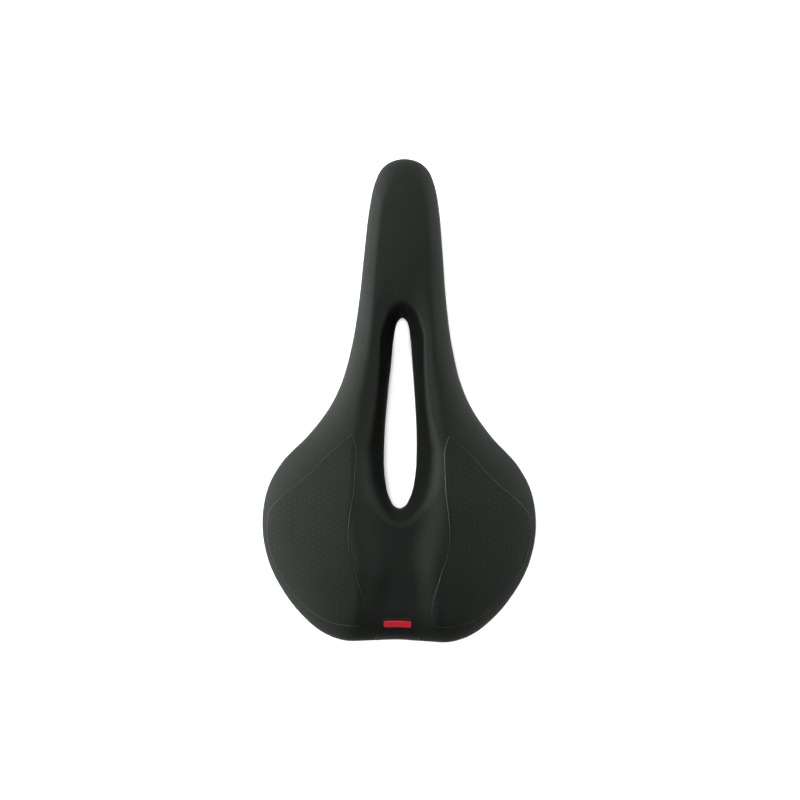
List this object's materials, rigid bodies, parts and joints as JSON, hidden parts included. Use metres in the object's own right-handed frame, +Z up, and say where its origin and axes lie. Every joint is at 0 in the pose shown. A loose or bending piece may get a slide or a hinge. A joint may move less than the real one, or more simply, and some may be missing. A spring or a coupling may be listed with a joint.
{
  "type": "bicycle saddle",
  "caption": "Padded bicycle saddle with a pressure-relief cut-out and channel, textured wing panels and a bent steel rail.",
  "frame": {"origin": "on the plane of the underside of the rail's straight runs, under the middle of the saddle's length and width", "axes": "+Y towards the nose, +Z up, +X to the rider's right"},
  "size_m": [0.1526, 0.27, 0.0582],
  "materials": {
    "cover": "matt synthetic cover with a fine grain, greenish grey black",
    "panel": "matt synthetic cover embossed with a fine cell pattern",
    "badge": "satin",
    "bar": "satin red",
    "foam": "closed-cell foam, matt",
    "insert": "soft gel, matt",
    "shell": "moulded, fine texture",
    "trim": "moulded, satin",
    "rail": "satin black over steel",
    "bracket": "moulded, fine texture",
    "screw": "plated"
  },
  "bodies": {
    "root": {"cover_centre": "cover", "cover_wing_right": "panel", "cover_wing_left": "panel", "tail_badge": "badge", "tail_badge_bar": "bar", "foam_pad": "foam", "sit_insert_right": "insert", "sit_insert_left": "insert", "base_shell": "shell", "cutout_trim": "trim", "rail": "rail", "rear_bracket_right": "bracket", "rear_bracket_left": "bracket", "rear_screw_inner_right": "screw", "rear_screw_inner_left": "screw", "rear_screw_outer_right": "screw", "rear_screw_outer_left": "screw", "nose_clip": "bracket", "nose_screw_rear": "screw", "nose_screw_front": "screw"}
  },
  "joints": []
}
